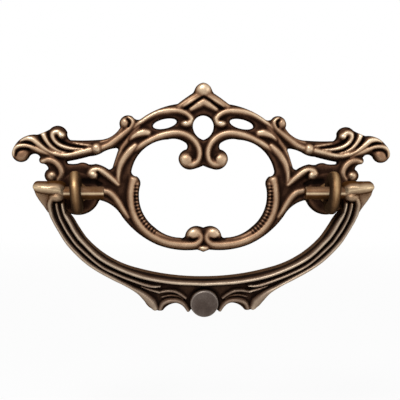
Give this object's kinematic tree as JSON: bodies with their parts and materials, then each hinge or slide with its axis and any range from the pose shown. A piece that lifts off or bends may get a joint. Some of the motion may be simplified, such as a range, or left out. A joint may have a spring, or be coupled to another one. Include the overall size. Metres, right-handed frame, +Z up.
{
  "type": "bail drawer pull",
  "caption": "Drawer pull with a pierced scrollwork backplate, eye posts with threaded studs and nuts, and a reeded bail handle that swings on pins through the eyes.",
  "frame": {"origin": "midway between the two post studs, on the plane where the backplate meets the drawer front", "axes": "+X to the right, +Y into the drawer front, +Z up; the decorated front faces -Y"},
  "size_m": [0.1162, 0.041, 0.0721],
  "materials": {
    "plate_brass": "antiqued cast brass, dark in the recesses and rubbed bright on the raised scrolls",
    "post_brass": "antiqued turned brass, rubbed bright on the rounded ring",
    "nut_brass": "plain machined brass",
    "bail_brass": "antiqued cast brass, worn smooth on the reeds and the round foot"
  },
  "bodies": {
    "fixed": {"backplate": "plate_brass", "left_eye_post": "post_brass", "right_eye_post": "post_brass", "nuts": "nut_brass"},
    "bail": {"bail": "bail_brass"}
  },
  "joints": [
    {"name": "bail_swing", "type": "hinge", "parent": "fixed", "child": "bail", "pos_m": [0, -0.01, 0], "axis": [-1, 0, 0], "range_deg": [0, 190]}
  ]
}
